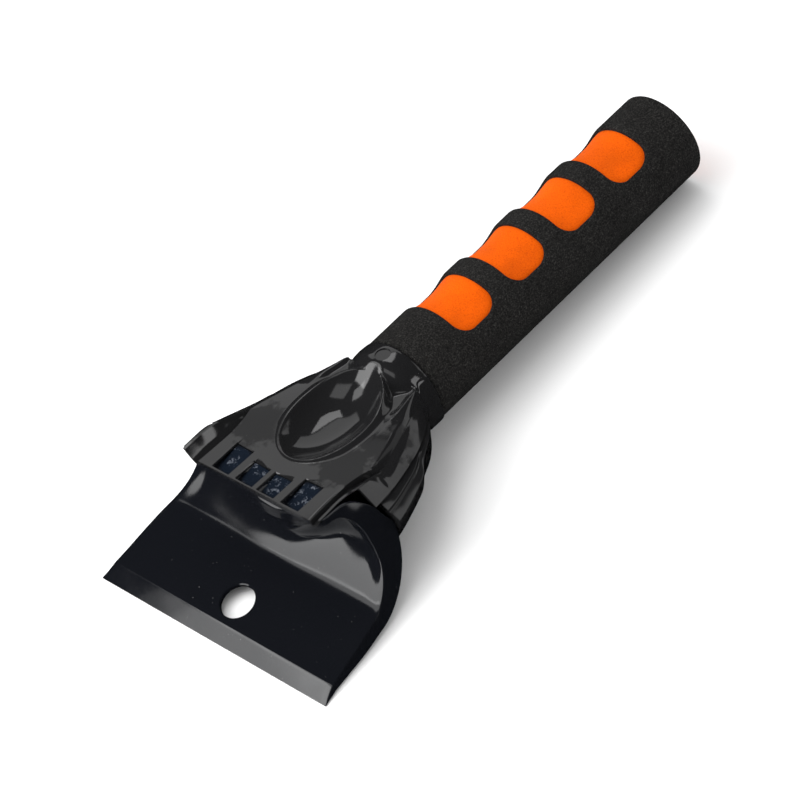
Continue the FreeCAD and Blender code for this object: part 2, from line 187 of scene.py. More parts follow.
EDGE = (-103.8, -25.9)
EDGE_LAND = 0.2
BLADE_THICKNESS = 1.8
SKIRT_THICKNESS = 1.6           # of the wall that turns down round each end of the blade
SKIRT_FLARE = 0.2
SKIRT_LEAST_DEPTH = 0.05
PLATE_ANGLE = math.radians(12.5)
DOWN = (math.sin(PLATE_ANGLE), -math.cos(PLATE_ANGLE))
BEVEL_LENGTH = 6.5
BEVEL_CREASE = 0.12             # half-width of the crease where the bevel meets the plate
ROLL_START_X = -73.0
ROLL_BACK_X = -59.0
# Length of the plate, from the edge to where the roll starts
PLATE_RUN = (ROLL_START_X - EDGE[0] + BLADE_THICKNESS * math.sin(PLATE_ANGLE)) / math.cos(PLATE_ANGLE)
ROLL_RIM_Y = 48.6               # half-width of the scoop where the roll starts
ROLL_TAPER = 8.6                # what the half-width loses on the way up
ROLL_SKIRT = 5.8                # depth of the skirt where the roll starts
ROLL_SKIRT_GAIN = 4.6           # what it gains on the way up
# distance from the edge, rim half-width, skirt depth
PLATE_ROWS = ((0.0, 52.3, 0.0), (BEVEL_LENGTH, 51.0, 2.4), (14.0, 50.3, 3.8), (22.0, 49.7, 5.0),
              (PLATE_RUN, ROLL_RIM_Y, ROLL_SKIRT), (PLATE_RUN + 6.0, 47.2, 6.6))
LIP_X = -68.0
LIP_Z = 9.0
LIP_HALF_WIDTH = 27.4
EAR_THICKNESS = 1.2
# The crescent ends beside the deck, and the lip between them that lies under the deck:
# position, rim x z y, skirt x z y, normal, middle x z, middle normal
EAR_ROWS = ((1.0, -59.2, 6.0, 38.0, -50.2, 4.6, 38.4, 1.0, 0.0, -59.0, 4.0, 1.0, 0.0),
            (2.0, -60.6, 10.2, 35.8, -52.4, 9.8, 36.0, 0.9, 0.4, -60.0, 7.6, 0.8, 0.6),
            (3.0, -63.4, 13.0, 33.6, -58.2, 14.6, 33.0, 0.7, 0.7, -62.5, LIP_Z, 0.0, 1.0),
            (4.0, LIP_X, 13.4, 32.4, LIP_X, 15.7, 32.2, 0.0, 1.0, LIP_X, LIP_Z, 0.0, 1.0))
# Softness of the corners of a cross-section, in the order of its loop
SECTION_SOFTNESS = (0.35, 0.45, 5.0, 5.0, 0.45, 0.35, 0.35, 1.0, 5.0, 5.0, 1.0, 0.35)
# Pieces that the long side after a corner is split into
SECTION_PIECES = {1: 8, 2: 24, 3: 8, 7: 8, 8: 24, 9: 8}
BOW = 8.0                       # by which the middle of the back wall stands forward
BOW_POWER = 2.6
BOW_SPAN = (2.0, 30.0)          # across the blade, where the bow fades out
POCKET = 1.6                    # by which the wall either side of the middle stands back
POCKET_POWER = 1.5
POCKET_SPAN = (5.0, 26.0)
POCKET_RIM = (7.0, 0.5)         # from the rim, where the pocket fades out
BOW_END = (1.2, 3.4)            # position on the ears where both have faded out
HOLE_RADIUS = 6.2
HOLE_FROM_EDGE = 15.2
HOLE_FLARE = 0.35
PAD_GAP = 0.25                  # round each pad, in its deck window
PAD_DROP = 0.6                  # of the pads' backs below the deck
PAD_SLOPE = 0.16
PAD_FOOT = 0.7                  # height of the pads' feet and of their lowest tops above the lip
PAD_LEAST = 0.9
PAD_CORNER = 0.3
# front x, back x and half-width of the tongue that the pads stand on
TONGUE = (-67.4, -54.5, 21.5)
TONGUE_LAYER = (0.15, EAR_THICKNESS - 0.1)      # its underside and top above the lip


def plate_point(distance, height):
    """Side-view point back from the scraping edge and above the plate's underside."""
    x = EDGE[0] + distance * math.cos(PLATE_ANGLE) - height * math.sin(PLATE_ANGLE)
    z = EDGE[1] + distance * math.sin(PLATE_ANGLE) + height * math.cos(PLATE_ANGLE)
    return x, z


def offset(point, direction, distance):
    return point[0] + direction[0] * distance, point[1] + direction[1] * distance


def blade_loop(rim, rim_y, skirt, skirt_y, normal, middle, middle_normal, thick):
    """One cross-section of the blade as a rounded closed loop."""
    wall = min(SKIRT_THICKNESS, thick)
    face = [(middle, LIP_HALF_WIDTH), (rim, rim_y), (skirt, skirt_y)]
    back = [(offset(middle, middle_normal, thick), LIP_HALF_WIDTH),
            (offset(rim, normal, thick), rim_y - wall), (skirt, skirt_y - wall)]
    corners = [(x, -y, z) for (x, z), y in reversed(face)] + [(x, y, z) for (x, z), y in face]
    corners += [(x, y, z) for (x, z), y in reversed(back)] + [(x, -y, z) for (x, z), y in back]
    loop = rounded(corners, SECTION_SOFTNESS)
    # The longest sides, across the middle and out to the rims, get points in between.
    size = len(loop)
    per_corner = size // len(corners)
    fine = []
    for i, point in enumerate(loop):
        fine.append(point)
        corner, step = divmod(i, per_corner)
        pieces = SECTION_PIECES.get(corner, 1) if step == per_corner - 1 else 1
        here, there = Vector(point), Vector(loop[(i + 1) % size])
        fine += [tuple(here.lerp(there, k / pieces)) for k in range(1, pieces)]
    return fine


def bowed(loop, share, rim_y):
    """The loop bent in plan: its middle forward, and the pockets either side of it back."""
    bent = []
    near_rim, at_rim = rim_y - POCKET_RIM[0], rim_y - POCKET_RIM[1]
    for x, y, z in loop:
        middle = BOW * share ** BOW_POWER * float(1.0 - smooth_step(abs(y), *BOW_SPAN))
        pocket = POCKET * share ** POCKET_POWER * float(
            smooth_step(abs(y), *POCKET_SPAN) * (1.0 - smooth_step(abs(y), near_rim, at_rim)))
        bent.append((x - middle + pocket, y, z))
    return bent


def roll_circle():
    """Centre and radius of the scoop's inner bend, tangent to the plate and to the back wall."""
    start = plate_point(PLATE_RUN, BLADE_THICKNESS)
    radius = (ROLL_BACK_X - start[0]) / (1.0 - math.sin(PLATE_ANGLE))
    return (start[0] - radius * math.sin(PLATE_ANGLE), start[1] + radius * math.cos(PLATE_ANGLE)), radius


def blade_loops():
    """Cross-sections from the scraping edge, along the plate, up the roll and over the lip."""
    loops = []
    bevel = [BEVEL_LENGTH * k / 6 for k in range(6)]
    bevel += [BEVEL_LENGTH - BEVEL_CREASE, BEVEL_LENGTH + BEVEL_CREASE]
    for distance in bevel + list(np.linspace(BEVEL_LENGTH + 5 * BEVEL_CREASE, PLATE_RUN, 16)[:-1]):
        rim_y, depth = spline(PLATE_ROWS, distance)
        share = min(distance / BEVEL_LENGTH, 1.0)
        thick = EDGE_LAND + (BLADE_THICKNESS - EDGE_LAND) * share
        point = plate_point(distance, thick)
        skirt = offset(point, DOWN, max(depth, SKIRT_LEAST_DEPTH))
        skirt_y = rim_y + SKIRT_FLARE * (1.0 + share)
        loops.append(blade_loop(point, rim_y, skirt, skirt_y, DOWN, point, DOWN, thick))
    centre, radius = roll_circle()

    def roll(share):
        angle = -(math.pi / 2 - PLATE_ANGLE) * (1.0 - share)
        normal = (math.cos(angle), math.sin(angle))
        point = offset(centre, normal, radius)
        rim_y = ROLL_RIM_Y - ROLL_TAPER * share ** 1.2
        skirt = offset(point, normal, ROLL_SKIRT + ROLL_SKIRT_GAIN * share)
        return point, rim_y, skirt, rim_y + 0.5, normal

    for share in np.linspace(0.0, 1.0, 30)[:-1]:
        point, rim_y, skirt, skirt_y, normal = roll(share)
        section = blade_loop(point, rim_y, skirt, skirt_y, normal, point, normal, BLADE_THICKNESS)
        loops.append(bowed(section, share, rim_y))

    ears = []
    for position, share in ((-0.9, 0.85), (0.0, 1.0)):
        point, rim_y, skirt, skirt_y, normal = roll(share)
        ears.append((position, *point, rim_y, *skirt, skirt_y, *normal, *point, *normal))
    ears += EAR_ROWS
    for position in np.linspace(0.0, EAR_ROWS[-1][0], 33):
        v = spline(ears, position)
        normal = Vector((v[6], v[7])).normalized()
        middle_normal = Vector((v[10], v[11])).normalized()
        thinning = float(smooth_step(position, 0.0, 2.5))
        thick = BLADE_THICKNESS + (EAR_THICKNESS - BLADE_THICKNESS) * thinning
        section = blade_loop((v[0], v[1]), v[2], (v[3], v[4]), v[5], normal,
                             (v[8], v[9]), middle_normal, thick)
        loops.append(bowed(section, float(1.0 - smooth_step(position, *BOW_END)), v[2]))
    return loops


def make_pads():
    """Four pads on the tongue, each with a top that slopes up towards the back."""
    pads = []
    for window in WINDOWS:
        for side in (-1, 1):
            plan = window_plan(window, side, PAD_GAP)
            back = max(x for x, y in plan)
            high = deck_height(back) - PAD_DROP
            foot = [(x, y, LIP_Z + PAD_FOOT) for x, y in plan]
            top = [(x, y, max(high - PAD_SLOPE * (back - x), LIP_Z + PAD_LEAST)) for x, y in plan]
            pads.append([rounded(loop, [PAD_CORNER] * 4, 2) for loop in (foot, top)])
    return gather("pads", pads)


def make_tongue():
    front, back, half_width = TONGUE
    plan = ((front, -half_width), (front, half_width), (back, half_width), (back, -half_width))
    return loft("tongue", [rounded([(x, y, LIP_Z + z) for x, y in plan], [1.0] * 4, 3)
                           for z in TONGUE_LAYER])


def make_blade():
    blade = loft("blade_moulding", blade_loops())
    x, z = plate_point(HOLE_FROM_EDGE, 0.0)
    up = (-math.sin(PLATE_ANGLE), 0.0, math.cos(PLATE_ANGLE))
    wide = HOLE_RADIUS + HOLE_FLARE + 1.0
    profile = ((wide, -1.0), (HOLE_RADIUS, HOLE_FLARE), (HOLE_RADIUS, BLADE_THICKNESS - HOLE_FLARE),
               (wide, BLADE_THICKNESS + 1.0))
    combine(blade, lathe("hole", profile, (x, 0.0, z), up), "DIFFERENCE")
    combine(blade, make_tongue(), "UNION")
    combine(blade, make_pads(), "UNION")
    finish_surface(blade)
    return blade


# ---------------------------------------------------------------- top shell

WALL = 0.9
DECK_FRONT_X = -69.0
DECK_FRONT_Z = 13.3
DECK_SLOPE = 0.046
FLANK_FRONT_X = -51.2
FLANK_POINTS = 10
FLANK_BULGE = 0.5
END_STATIONS = [-0.9, -0.6, -0.3, -0.05]        # close together, round the collar's end edge
DISH_CENTRE_X = -31.3
DISH_HALF_LENGTH = 20.8
DISH_HALF_WIDTH = 14.1
DISH_DEPTH = 5.6
DISH_POWER = 2.7
COLLAR_RADIUS = 17.4
WINDOW_FRONT_X = -68.2
# inner side y, outer side y, back x at the inner side, back x at the outer side, back of the ramp
WINDOWS = ((1.2, 8.6, -59.4, -59.2, -57.4), (12.0, 19.7, -56.3, -56.0, -52.4))
WINDOW_CHAMFER = 0.3
WINDOW_CORNER = 0.25
WINDOW_LOW_Z = 5.0              # underside of the cutters
WINDOW_OVER = 0.6               # by which they stand above the deck
RAMP_DEPTH = 0.45
RAMP_OVER = 2.0
# The neck: its round back, the wedges that the ridges end in, and the gutters between them
NECK_SPAN = (-26.0, -16.0)
NECK_BLEND = 1.8
WEDGE_Z = 12.1
WEDGE_FALL = 0.05
WEDGE_END = (-7.6, -4.8)
WEDGE_END_DROP = 9.0
WEDGE_INNER_Y = 17.8
WEDGE_NARROWING = (1.7, -20.0, -8.0)            # amount, and the stretch of x it comes over
WEDGE_SIDE_FALL = 0.4
GUTTER_DEPTH = 0.9
GUTTER_WIDTH = 2.4
# The dish's rim: its height, and rises over stretches of x
RIM_Z = 12.9
RIM_RISES = ((0.3, -50.0, -34.0), (2.1, -28.0, -9.0))
BEAD_REACH = (1.05, 0.19)       # outer limit of the bead round the dish, and what the sides add
BEAD_SINK = 0.3
BEAD_BLEND = 0.4
DISH_BLEND = 0.7
# Mark on the collar: position, radii and depth
MARK_X = -4.6
MARK_DEPTH = 0.5
MARK_PROFILE = ((2.75, 0.0), (2.75, 0.4), (3.6, 3.0))
# x, middle height, ridge y z, valley y z, fin crest y z (outer edge), flank's lower edge y z
TOP_ROWS = ((-69.0, 13.3, 25.5, 12.9, 26.6, 11.1, 31.6, 15.8, 37.4, 8.6),
            (-65.0, 13.1, 25.2, 12.9, 26.4, 11.2, 31.6, 15.9, 37.4, 8.6),
            (-60.0, 12.9, 25.0, 12.8, 26.1, 11.2, 31.4, 15.8, 37.4, 8.6),
            (-55.0, 12.6, 25.0, 12.6, 25.9, 10.9, 31.3, 15.1, 37.4, 8.6),
            (-51.2, 12.4, 25.3, 12.4, 26.0, 10.5, 31.2, 13.9, 37.2, 8.4),
            (-46.0, 12.2, 26.2, 12.2, 26.9, 9.9, 30.3, 12.0, 35.9, 7.2),
            (-42.2, 12.2, 27.2, 12.0, 28.2, 9.4, 29.6, 10.2, 34.9, 6.4),
            (-39.0, 12.3, 26.6, 11.8, 28.3, 9.3, 28.9, 9.3, 34.0, 5.8),
            (-31.0, 12.5, 23.9, 11.5, 26.2, 9.6, 26.7, 9.5, 31.8, 5.2),
            (-24.0, 12.9, 21.4, 11.4, 23.8, 9.6, 24.3, 9.5, 29.6, 5.0),
            (-17.0, 13.2, 18.8, 11.2, 21.0, 9.3, 21.5, 9.1, 26.2, 4.6),
            (-12.0, 14.8, 17.0, 11.0, 19.0, 8.3, 19.4, 7.9, 22.4, 3.6),
            (-9.0, 16.6, 16.0, 10.6, 17.7, 7.4, 18.0, 6.9, 19.6, 2.0),
            (-6.6, 17.3, 15.0, 9.7, 16.8, 6.4, 17.0, 5.8, 17.8, 0.8),
            (-5.0, 17.4, 13.6, 10.9, 16.2, 6.3, 16.4, 5.7, 17.4, 0.3),
            (-2.5, 17.4, 13.5, 11.0, 16.2, 6.3, 16.4, 5.7, 17.4, 0.2),
            (-0.6, 17.2, 13.3, 10.9, 16.0, 6.3, 16.2, 5.7, 17.2, 0.2),
            (-0.05, 16.8, 13.0, 10.7, 15.6, 6.2, 15.8, 5.6, 16.8, 0.2))


def dish_distance(x, y):
    """1 on the thumb dish's outline, less inside."""
    return math.hypot((x - DISH_CENTRE_X) / DISH_HALF_LENGTH, y / DISH_HALF_WIDTH)


def soft_max(a, b, blend):
    gap = max(blend - abs(a - b), 0.0) / blend
    return max(a, b) + gap * gap * blend / 4


def soft_min(a, b, blend):
    return -soft_max(-a, -b, blend)


def crown(x, y, row):
    """Height of the top shell between its two ridges."""
    mid, ridge_y, ridge_z = row[:3]
    plain = mid + (ridge_z - mid) * (y / ridge_y) ** 2
    neck = float(smooth_step(x, *NECK_SPAN))
    if neck > 0.0:
        wedge = (WEDGE_Z - WEDGE_FALL * (x - NECK_SPAN[0])
                 - WEDGE_END_DROP * float(smooth_step(x, *WEDGE_END)))
        inner = WEDGE_INNER_Y - WEDGE_NARROWING[0] * float(smooth_step(x, *WEDGE_NARROWING[1:]))
        gutter = GUTTER_DEPTH * neck * float(smooth_step(inner - y, 0.0, GUTTER_WIDTH))
        tube = math.sqrt(max(mid * mid - y * y, 0.0))
        side = wedge - WEDGE_SIDE_FALL * max(y - inner, 0.0) - gutter
        plain = plain * (1 - neck) + soft_max(tube, side, NECK_BLEND) * neck
    rho = dish_distance(x, y)
    rim = RIM_Z + sum(rise * float(smooth_step(x, low, high)) for rise, low, high in RIM_RISES)
    reach = BEAD_REACH[0] + BEAD_REACH[1] * min(abs(y) / DISH_HALF_WIDTH, 1.0) ** 2
    bead = rim
    if rho > 1.0:
        fall = float(smooth_step(rho, 1.0, reach))
        bead = rim * (1 - fall) + (plain - BEAD_SINK) * fall
    outside = soft_max(plain, bead, BEAD_BLEND) if rho < reach + 0.1 else plain
    bowl = rim - DISH_DEPTH * (1.0 - rho ** DISH_POWER)
    return soft_min(bowl, outside, DISH_BLEND) if rho < 1.2 else outside


def half_section(x, flank):
    """Points across the left half of the top shell at one station, from the middle outwards."""
    row = spline(TOP_ROWS, x)
    ridge_y, ridge_z, valley_y, valley_z, fin_y, fin_z, edge_y, edge_z = row[1:]
    points = [(x, ridge_y * s, crown(x, ridge_y * s, row)) for s in np.linspace(0.0, 1.0, 79)]
    top = points[-1][2]
    for s in (0.12, 0.3, 0.5, 0.72, 0.9, 1.0):
        points.append((x, ridge_y + (valley_y - ridge_y) * s,
                       top + (valley_z - top) * s ** 1.5))
    # the fin's inner face, its rounded crest, and the flank
    inner_y = max(fin_y - 1.1, valley_y + 0.15)
    inner_z = fin_z - 0.05
    for s in np.linspace(0.0, 1.0, 9)[1:]:
        points.append((x, valley_y + (inner_y - valley_y) * s,
                       valley_z + (inner_z - valley_z) * (0.55 * s + 0.45 * s * s)))
    crest_z = fin_z - 0.12
    points.append((x, fin_y - 0.2, fin_z + 0.02))
    points.append((x, fin_y, crest_z))
    if flank:
        swell = FLANK_BULGE * float(1.0 - smooth_step(-x, 41.0, 43.0))
        for s in np.linspace(0.0, 1.0, FLANK_POINTS + 1)[1:]:
            bulge = swell * math.sin(math.pi * s)
            points.append((x, fin_y + (edge_y - fin_y) * s, crest_z + (edge_z - crest_z) * s + bulge))
    return points


def top_sheet():
    """The top shell's outer surface as an open sheet, both halves."""
    deck = list(np.linspace(DECK_FRONT_X, FLANK_FRONT_X, 46))
    body = list(np.linspace(FLANK_FRONT_X, -1.2, 130)) + END_STATIONS
    stations = [(x, False) for x in deck[:-1]] + [(x, True) for x in body]
    verts, faces, rows = [], [], []
    for x, flank in stations:
        half = half_section(x, flank)
        row = [(px, -py, pz) for px, py, pz in reversed(half[1:])] + half
        rows.append((len(verts), len(row), FLANK_POINTS if flank else 0))
        verts += row
    for (a, size_a, skip_a), (b, _, skip_b) in zip(rows, rows[1:]):
        skip = min(skip_a, skip_b)
        shift_a, shift_b = skip_a - skip, skip_b - skip
        for j in range(size_a - 2 * shift_a - 1):
            p, q = a + shift_a + j, b + shift_b + j
            faces.append((p, q, q + 1, p + 1))
    return verts, faces


def window_plan(window, side, inset=0.0):
    """Outline of a deck window, drawn in on every side by the inset."""
    inner, outer, back_inner, back_outer, _ = window
    front = WINDOW_FRONT_X + inset
    plan = ((front, inner + inset), (front, outer - inset), (back_outer - inset, outer - inset),
            (back_inner - inset, inner + inset))
    return [(x, side * y) for x, y in plan]


def deck_height(x):
    return DECK_FRONT_Z - DECK_SLOPE * (x - DECK_FRONT_X)


def window_cutter(window, side):
    """Loops of the body that cuts a window and the chamfer round it."""
    plan = window_plan(window, side)
    centre = Vector((sum(p[0] for p in plan) / 4, sum(p[1] for p in plan) / 4))
    loops = [rounded([(x, y, WINDOW_LOW_Z) for x, y in plan], [WINDOW_CORNER] * 4, 2)]
    for rise, grow in ((-WINDOW_CHAMFER, 0.0), (WINDOW_OVER, WINDOW_OVER + WINDOW_CHAMFER)):
        loop = []
        for x, y in plan:
            step = Vector((x, y)) - centre
            loop.append((x + math.copysign(grow, step.x), y + math.copysign(grow, step.y),
                         deck_height(x) + rise))
        loops.append(rounded(loop, [WINDOW_CORNER] * 4, 2))
    return loops


def ramp_cutter(window, side):
    """Triangular slope that runs up from a window's back edge to the deck."""
    inner, outer, back_inner, back_outer, ramp_back = window
    base = [(back_inner - 0.3, side * inner, -RAMP_DEPTH), (back_outer - 0.3, side * outer, -RAMP_DEPTH),
            (ramp_back, side * (outer - 0.4), 0.05)]
    bottom = [(x, y, deck_height(x) + z) for x, y, z in base]
    top = [(x, y, deck_height(x) + RAMP_OVER) for x, y, z in base]
    return [bottom, top]


def gather(name, bodies):
    """One mesh of several closed lofts that don't touch."""
    parts = [loft(name, loops) for loops in bodies]
    bm = bmesh.new()
    for part in parts:
        bm.from_mesh(part.data)
        bpy.data.objects.remove(part)
    mesh = bpy.data.meshes.new(name)
    bm.to_mesh(mesh)
    bm.free()
    obj = bpy.data.objects.new(name, mesh)
    bpy.context.scene.collection.objects.link(obj)
    return obj


def make_top_shell():
    shell = make_object("top_shell", *top_sheet(), closed=False)
    thicken = shell.modifiers.new("wall", "SOLIDIFY")
    thicken.thickness = WALL * MM
    thicken.offset = -1.0
    apply_modifiers(shell)
    windows = [window_cutter(window, side) for window in WINDOWS for side in (-1, 1)]
    combine(shell, gather("windows", windows), "DIFFERENCE")
    ramps = [ramp_cutter(window, side) for window in WINDOWS for side in (-1, 1)]
    combine(shell, gather("ramps", ramps), "DIFFERENCE")
    mark = lathe("mark", MARK_PROFILE, (MARK_X, 0.0, COLLAR_RADIUS - MARK_DEPTH), (0, 0, 1), 64)
    combine(shell, mark, "DIFFERENCE")
    finish_surface(shell, 38.0)
    return shell


# ---------------------------------------------------------------- bottom shell

BELLY_Z = -15.6
# x, ledge half-width and height, half-width and height of the joint with the top shell
BOTTOM_ROWS = ((-48.4, 43.4, 2.6, 35.3, 7.2), (-43.0, 41.6, 2.0, 34.0, 6.0),
               (-33.0, 37.6, 1.4, 31.1, 4.7), (-28.4, 35.4, 1.8, 29.7, 4.5),
               (-24.4, 32.0, 2.8, 28.5, 4.4), (-17.0, 27.6, 3.2, 25.0, 4.0),
               (-12.0, 23.2, 2.0, 21.0, 3.0), (-8.6, 19.0, 0.9, 18.0, 1.2),
               (-5.0, 17.3, -0.2, 16.5, 0.0), (-2.5, 17.3, -0.2, 16.5, 0.0),
               (-0.6, 17.1, -0.2, 16.3, 0.0), (-0.05, 16.7, -0.2, 15.9, 0.0))
LEDGE_GROOVE_SHARE = 0.52       # position of the fine groove across the ledge
LEDGE_GROOVE_DEPTH = 0.45
LEDGE_END = (-27.0, -22.0)
RING_SPAN = (-12.0, -5.0)       # where the tray turns into the collar's lower half
RING_RADIUS = 15.4
RING_FLARE = 1.9
RING_BORE = 11.1
OCTAGON = 0.41                  # half-side of an octagon, over the radius of its inner circle
BELLY_SHARE = 0.58              # half-width of the flat belly, over that of the ledge
BILGE_SHARE = 0.88
BILGE_RISE = 5.0
# Softness of the corners of the left half's section, in the order of its loop
BOTTOM_SOFTNESS = [9.0, 8.0, 0.5, 0.4, 0.15, 0.15, 0.15, 0.15, 0.3, 0.4, 1.0, 6.0, 8.0]


def bottom_loop(x):
    """Cross-section of the tray, which turns from a flat-bottomed boat into a half ring."""
    width, ledge_z, joint_y, joint_z = spline(BOTTOM_ROWS, x)
    ring = float(smooth_step(x, *RING_SPAN))
    radius = RING_RADIUS + RING_FLARE * ring - 0.6 * float(smooth_step(x, -0.8, 0.0))
    ledge = float(1.0 - smooth_step(x, *LEDGE_END))

    def mix(a, b):
        return a * (1 - ring) + b * ring

    def on_ledge(shift, drop):
        share = LEDGE_GROOVE_SHARE + shift
        return (joint_y + (width - joint_y) * share,
                joint_z + (ledge_z - joint_z) * share - drop * ledge)

    outer = [(mix(width * BELLY_SHARE, radius * OCTAGON), mix(BELLY_Z, -radius)),
             (mix(width * BILGE_SHARE, radius), mix(BELLY_Z + BILGE_RISE, -radius * OCTAGON)),
             (width - 0.4 * ledge, ledge_z - 1.4 * ledge - 0.3), (width, ledge_z),
             on_ledge(0.09, -0.25), on_ledge(0.03, LEDGE_GROOVE_DEPTH),
             on_ledge(-0.03, LEDGE_GROOVE_DEPTH), on_ledge(-0.09, 0.0), (joint_y, joint_z)]
    inner = [(mix(width * (BELLY_SHARE - 0.02), RING_BORE * OCTAGON), mix(BELLY_Z + WALL, -RING_BORE)),
             (mix(width * BILGE_SHARE - 2.4, RING_BORE),
              mix(BELLY_Z + BILGE_RISE + 1.4, -RING_BORE * OCTAGON)),
             (mix(width - 3.0, RING_BORE), ledge_z - 2.6),
             (mix(joint_y - 1.4, RING_BORE), joint_z - mix(2.0, 0.2))]
    left = [(x, y, z) for y, z in outer] + [(x, y, z) for y, z in reversed(inner)]
    right = [(x, -y, z) for x, y, z in reversed(left)]
    return rounded(left + right, BOTTOM_SOFTNESS + BOTTOM_SOFTNESS[::-1], 5)


CHIN_BACK_X = -47.9
CHIN_HALF_WIDTH = 27.6
CHIN_TOP_Z = -0.2
CHIN_LOW_Z = -15.45
ROLL_GAP = 0.3                  # between the chin and the back of the roll
# Corners, in x and z, of the body that hollows the chin, open to the front, the back and the top
CHIN_HOLLOW = ((-90.0, CHIN_LOW_Z + WALL), (-40.0, CHIN_LOW_Z + WALL), (-40.0, 5.0), (-90.0, 5.0))


def make_chin():
    """Open tray that reaches forward from the shell to the back of the blade's roll."""
    centre, radius = roll_circle()
    reach = radius + BLADE_THICKNESS + ROLL_GAP
    profile = [(centre[0] + math.sqrt(reach ** 2 - (z - centre[1]) ** 2), z)
               for z in np.linspace(CHIN_TOP_Z, CHIN_LOW_Z, 24)]
    profile += [(CHIN_BACK_X, CHIN_LOW_Z), (CHIN_BACK_X, CHIN_TOP_Z)]
    block = loft("chin", [[(x, y, z) for x, z in profile] for y in (-CHIN_HALF_WIDTH, CHIN_HALF_WIDTH)])
    inside = CHIN_HALF_WIDTH - WALL
    hollow = loft("chin_hollow", [[(x, y, z) for x, z in CHIN_HOLLOW] for y in (-inside, inside)])
    combine(block, hollow, "DIFFERENCE")
    return block


def make_bottom_shell():
    stations = list(np.linspace(BOTTOM_ROWS[0][0], -1.2, 110)) + END_STATIONS
    shell = loft("bottom_shell", [bottom_loop(x) for x in stations])
    combine(shell, make_chin(), "UNION")
    finish_surface(shell)
    return shell


# ---------------------------------------------------------------- foam grip

SKIN = 1.3
SKIN_END_ROUND = 1.2
SHOULDER_DEPTH = 0.4            # of the rounded border round each groove
SHOULDER_WIDTH = 1.1
SKIN_STEP = 0.6
SKIN_TURNS = 180
CORE_RADIUS = GRIP_RADIUS - SKIN
CORE_GAP = 0.02                 # between the two sleeves
CORE_STEP = 0.8
CORE_TURNS = 150
HOLLOW_DEPTH = 1.0              # of the core's surface at a groove's middle
HOLLOW_WIDTH = 8.0
TUBE_RADIUS = 11.05
GROOVES = [28.2 + 26.7 * k for k in range(4)]
GROOVE_HALF_WIDTH = 9.15
GROOVE_ANGLE = math.radians(10.0)
GROOVE_HALF_SPAN = math.radians(62.5)
GROOVE_CORNER = 6.5


def groove_distance(x, angle):
    """Distance outside the nearest finger groove's outline, in mm; negative inside."""
    turn = (angle - GROOVE_ANGLE + math.pi) % (2 * math.pi) - math.pi
    across = abs(turn) * GRIP_RADIUS - (GROOVE_HALF_SPAN * GRIP_RADIUS - GROOVE_CORNER)
    along = min(abs(x - centre) for centre in GROOVES) - (GROOVE_HALF_WIDTH - GROOVE_CORNER)
    outer = math.hypot(max(along, 0.0), max(across, 0.0))
    return outer + min(max(along, across), 0.0) - GROOVE_CORNER


def end_drop(x, radius):
    """How far a rounded end edge lies under the full radius."""
    inside = min(x, GRIP_LENGTH - x)
    if inside >= radius:
        return 0.0
    return radius - math.sqrt(max(radius ** 2 - (radius - inside) ** 2, 0.0))


def skin_radius(x, angle):
    gap = groove_distance(x, angle)
    shoulder = SHOULDER_DEPTH * max(1.0 - gap / SHOULDER_WIDTH, 0.0) ** 2
    return GRIP_RADIUS - shoulder - end_drop(x, SKIN_END_ROUND)


def core_radius(x, angle):
    inside = max(-groove_distance(x, angle), 0.0)
    return CORE_RADIUS - HOLLOW_DEPTH * float(smooth_step(inside, 0.0, HOLLOW_WIDTH)) - CORE_GAP


def grip_stations(step):
    """Positions along the grip, closer together at its rounded ends."""
    count = round(GRIP_LENGTH / step)
    ends = [0.0, 0.15, 0.4, 0.8]
    inner = [k * GRIP_LENGTH / count for k in range(count + 1)]
    inner = [x for x in inner if SKIN_END_ROUND < x < GRIP_LENGTH - SKIN_END_ROUND]
    return ends + inner + [GRIP_LENGTH - x for x in reversed(ends)]


def on_grip(x, angle, radius):
    return (x, radius * math.sin(angle), radius * math.cos(angle))


